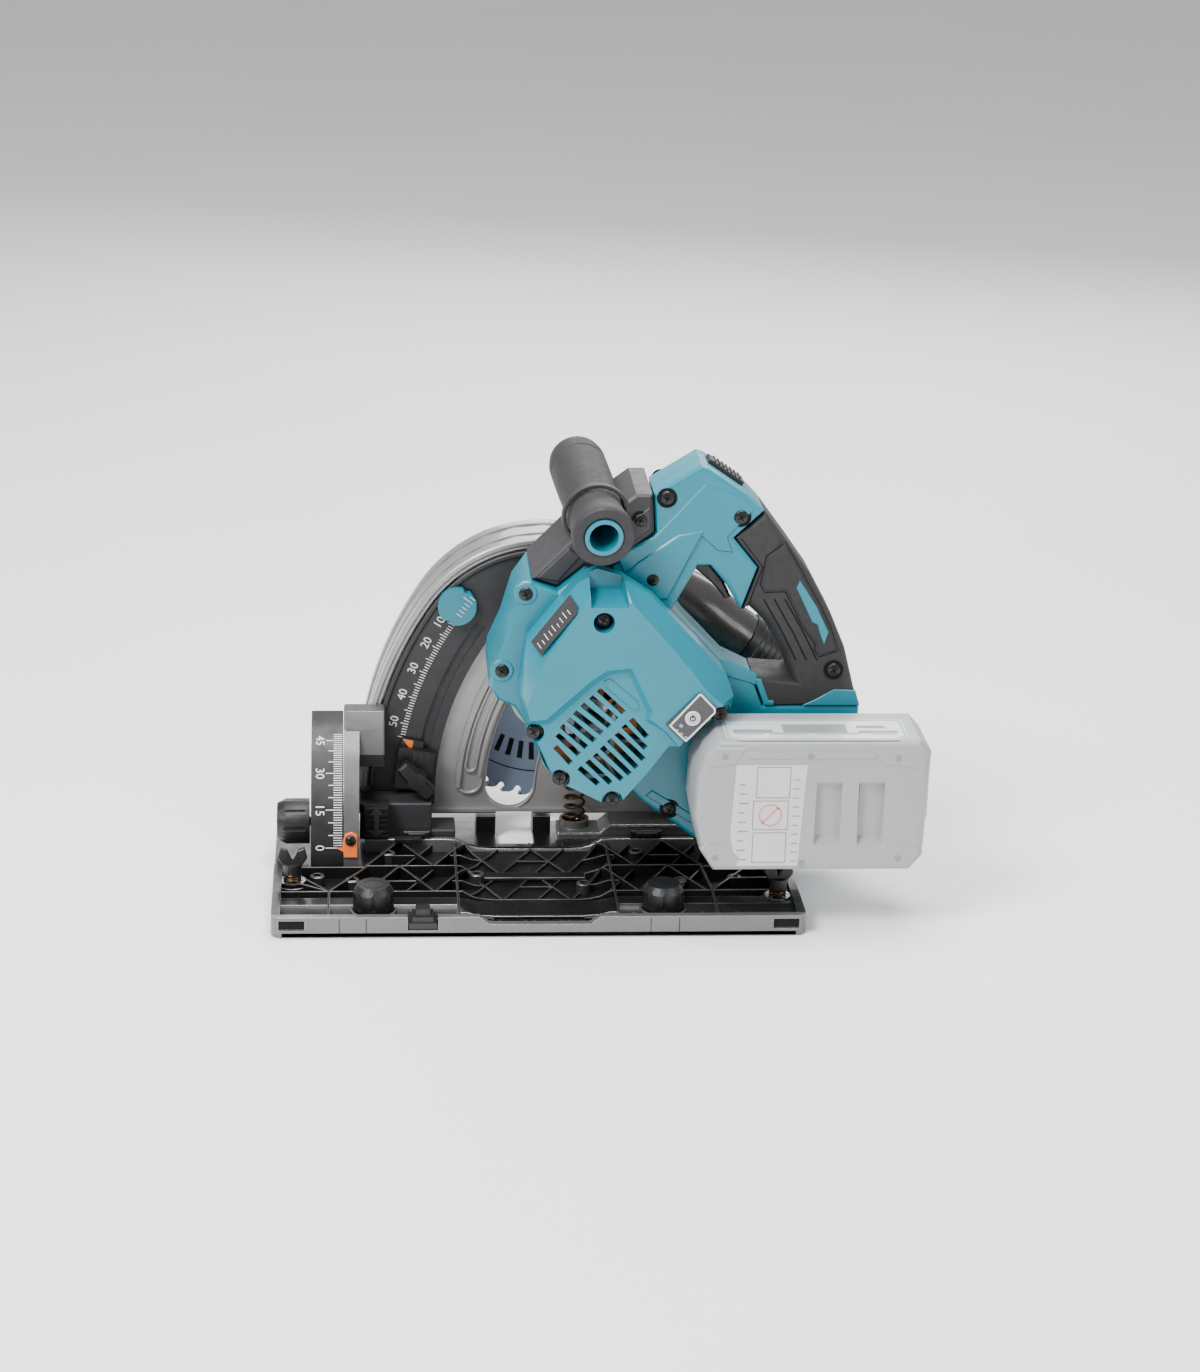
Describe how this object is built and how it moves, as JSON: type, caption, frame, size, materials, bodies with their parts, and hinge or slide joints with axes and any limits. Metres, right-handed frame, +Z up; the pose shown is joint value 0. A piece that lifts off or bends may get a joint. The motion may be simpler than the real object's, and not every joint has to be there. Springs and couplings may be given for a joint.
{
  "type": "cordless plunge circular saw",
  "caption": "Cordless plunge-cut circular saw with guide-rail base, bevel quadrants, depth scale, front and rear handles and battery pack.",
  "frame": {"origin": "middle of the base plate's length and of its 200 mm nominal depth, on its underside", "axes": "+Z up from the work, +X towards the battery and the user, -Y towards the motor side; the blade plane is Y = 68.5 mm"},
  "size_m": [0.3675, 0.1942, 0.256],
  "materials": {
    "cast_metal": "satin",
    "silver_metal": "satin",
    "steel": "satin",
    "blade_steel": "satin",
    "spring_steel": "satin",
    "teal_plastic": "satin",
    "charcoal_plastic": "matt",
    "black_plastic": "matt",
    "rubber": "matt",
    "pale_plastic": "satin",
    "winding": "satin"
  },
  "bodies": {
    "base": {"base_plate": "cast_metal", "front_bevel_quadrant": "black_plastic", "rear_bevel_quadrant": "black_plastic", "front_guide_pad": "black_plastic"},
    "front_rail_knob_body": {"front_rail_knob": "black_plastic"},
    "rear_rail_knob_body": {"rear_rail_knob": "black_plastic"},
    "front_corner_screw_body": {"front_corner_screw": "black_plastic"},
    "rear_corner_screw_body": {"rear_corner_screw": "black_plastic"},
    "anti_tip_body": {"anti_tip_slider": "black_plastic"},
    "tilt_frame": {"front_bevel_plate": "silver_metal", "rear_bevel_plate": "silver_metal", "front_frame_block": "charcoal_plastic", "rear_frame_beam": "silver_metal", "blade_case": "silver_metal", "blade_case_cover": "silver_metal", "dust_nozzle": "silver_metal", "dust_connector": "black_plastic", "depth_scale": "charcoal_plastic", "return_spring": "spring_steel", "plunge_pin": "steel"},
    "front_lock_body": {"front_lock_knob": "black_plastic"},
    "rear_lock_body": {"rear_lock_knob": "black_plastic"},
    "bevel_release_body": {"bevel_release_slider": "black_plastic"},
    "scoring_disc_body": {"scoring_stop_disc": "teal_plastic"},
    "depth_stop_body": {"depth_stop": "charcoal_plastic"},
    "depth_clamp_body": {"depth_clamp_knob": "black_plastic"},
    "head": {"motor_cover": "teal_plastic", "motor_housing": "teal_plastic", "handle_bracket": "charcoal_plastic", "front_handle_grip": "rubber", "front_handle_core": "teal_plastic", "body_shell_near": "teal_plastic", "body_shell_far": "teal_plastic", "rear_grip": "rubber", "switch_unit": "black_plastic", "terminal_block": "black_plastic", "controller": "black_plastic", "control_panel": "black_plastic", "gearbox_plate": "silver_metal", "gear_housing": "silver_metal", "stator": "winding", "motor_rear_bearing": "steel", "motor_front_bearing": "steel", "spindle_rear_bearing": "steel", "spindle_front_bearing": "steel"},
    "blade_group": {"spindle": "steel", "drive_gear": "steel", "inner_flange": "steel", "saw_blade": "blade_steel", "outer_flange": "steel", "blade_bolt": "steel"},
    "rotor_group": {"rotor": "steel", "fan": "black_plastic", "pinion": "steel"},
    "trigger_body": {"trigger": "black_plastic"},
    "lock_off_body": {"lock_off_button": "black_plastic"},
    "speed_dial_body": {"speed_dial": "black_plastic"},
    "power_button_body": {"power_button": "steel"},
    "battery": {"battery_pack": "pale_plastic"},
    "battery_button_body": {"battery_button": "pale_plastic"}
  },
  "joints": [
    {"name": "front_rail_knob_turn", "type": "hinge", "parent": "base", "child": "front_rail_knob_body", "pos_m": [-0.093, -0.078, 0.009], "axis": [0, 0, 1], "range_deg": [0, 180]},
    {"name": "rear_rail_knob_turn", "type": "hinge", "parent": "base", "child": "rear_rail_knob_body", "pos_m": [0.0705, -0.078, 0.009], "axis": [0, 0, 1], "range_deg": [0, 180]},
    {"name": "front_corner_screw_turn", "type": "hinge", "parent": "base", "child": "front_corner_screw_body", "pos_m": [-0.139, -0.041, 0.008], "axis": [0, 0, 1], "range_deg": [-180, 180]},
    {"name": "rear_corner_screw_turn", "type": "hinge", "parent": "base", "child": "rear_corner_screw_body", "pos_m": [0.1375, -0.0655, 0.008], "axis": [0, 0, 1], "range_deg": [-180, 180]},
    {"name": "anti_tip_slide", "type": "slide", "parent": "base", "child": "anti_tip_body", "axis": [0, -1, 0], "range_m": [0, 0.006]},
    {"name": "bevel_tilt", "type": "hinge", "parent": "base", "child": "tilt_frame", "pos_m": [0, 0.0685, 0], "axis": [-1, 0, 0], "range_deg": [-1, 48]},
    {"name": "front_lock_turn", "type": "hinge", "parent": "tilt_frame", "child": "front_lock_body", "pos_m": [-0.13, 0.01369, 0.0244], "axis": [-1, 0, 0], "range_deg": [0, 120]},
    {"name": "rear_lock_turn", "type": "hinge", "parent": "tilt_frame", "child": "rear_lock_body", "pos_m": [0.149, 0.02648, 0.01871], "axis": [1, 0, 0], "range_deg": [0, 120]},
    {"name": "bevel_release_slide", "type": "slide", "parent": "tilt_frame", "child": "bevel_release_body", "axis": [0, 0, 1], "range_m": [0, 0.005]},
    {"name": "scoring_disc_turn", "type": "hinge", "parent": "tilt_frame", "child": "scoring_disc_body", "pos_m": [-0.0438, 0.045, 0.1475], "axis": [0, 1, 0], "range_deg": [0, 90]},
    {"name": "depth_stop_swing", "type": "hinge", "parent": "tilt_frame", "child": "depth_stop_body", "pos_m": [0.12, 0.045, 0.026], "axis": [0, 1, 0], "range_deg": [0, 21.5]},
    {"name": "depth_clamp_turn", "type": "hinge", "parent": "depth_stop_body", "child": "depth_clamp_body", "pos_m": [-0.06717, 0.03, 0.04369], "axis": [0, -1, 0], "range_deg": [0, 90]},
    {"name": "plunge", "type": "hinge", "parent": "tilt_frame", "child": "head", "pos_m": [0.12, 0.034, 0.026], "axis": [0, -1, 0], "range_deg": [0, 33], "stiffness_Nm_per_rad": 3, "springref_deg": -68.75, "deforming": ["return_spring"]},
    {"name": "blade_spin", "type": "hinge", "parent": "head", "child": "blade_group", "pos_m": [0.008, 0.0685, 0.101], "axis": [0, 1, 0], "continuous": true},
    {"name": "rotor_spin", "type": "hinge", "parent": "head", "child": "rotor_group", "pos_m": [0.02963, -0.026, 0.105], "axis": [0, 1, 0], "continuous": true},
    {"name": "trigger_pull", "type": "slide", "parent": "head", "child": "trigger_body", "axis": [0.77, 0, 0.638], "range_m": [0, 0.006], "stiffness_N_per_m": 400, "springref_m": -0.004},
    {"name": "lock_off_press", "type": "slide", "parent": "head", "child": "lock_off_body", "axis": [-0.566, 0, -0.8244], "range_m": [0, 0.003], "stiffness_N_per_m": 500, "springref_m": -0.003},
    {"name": "speed_dial_turn", "type": "hinge", "parent": "head", "child": "speed_dial_body", "pos_m": [0.082, -0.042, 0.1512], "axis": [0, 1, 0], "range_deg": [0, 270]},
    {"name": "power_button_press", "type": "slide", "parent": "head", "child": "power_button_body", "axis": [0, 1, 0], "range_m": [0, 0.0008], "stiffness_N_per_m": 300, "springref_m": -0.001},
    {"name": "battery_slide", "type": "slide", "parent": "head", "child": "battery", "axis": [1, 0, 0], "range_m": [0, 0.09]},
    {"name": "battery_button_press", "type": "slide", "parent": "battery", "child": "battery_button_body", "axis": [-1, 0, 0], "range_m": [0, 0.0015], "stiffness_N_per_m": 500, "springref_m": -0.002}
  ],
  "couplings": [
    {"joint": "rotor_spin", "follows": "blade_spin", "ratio": -3.8889}
  ]
}
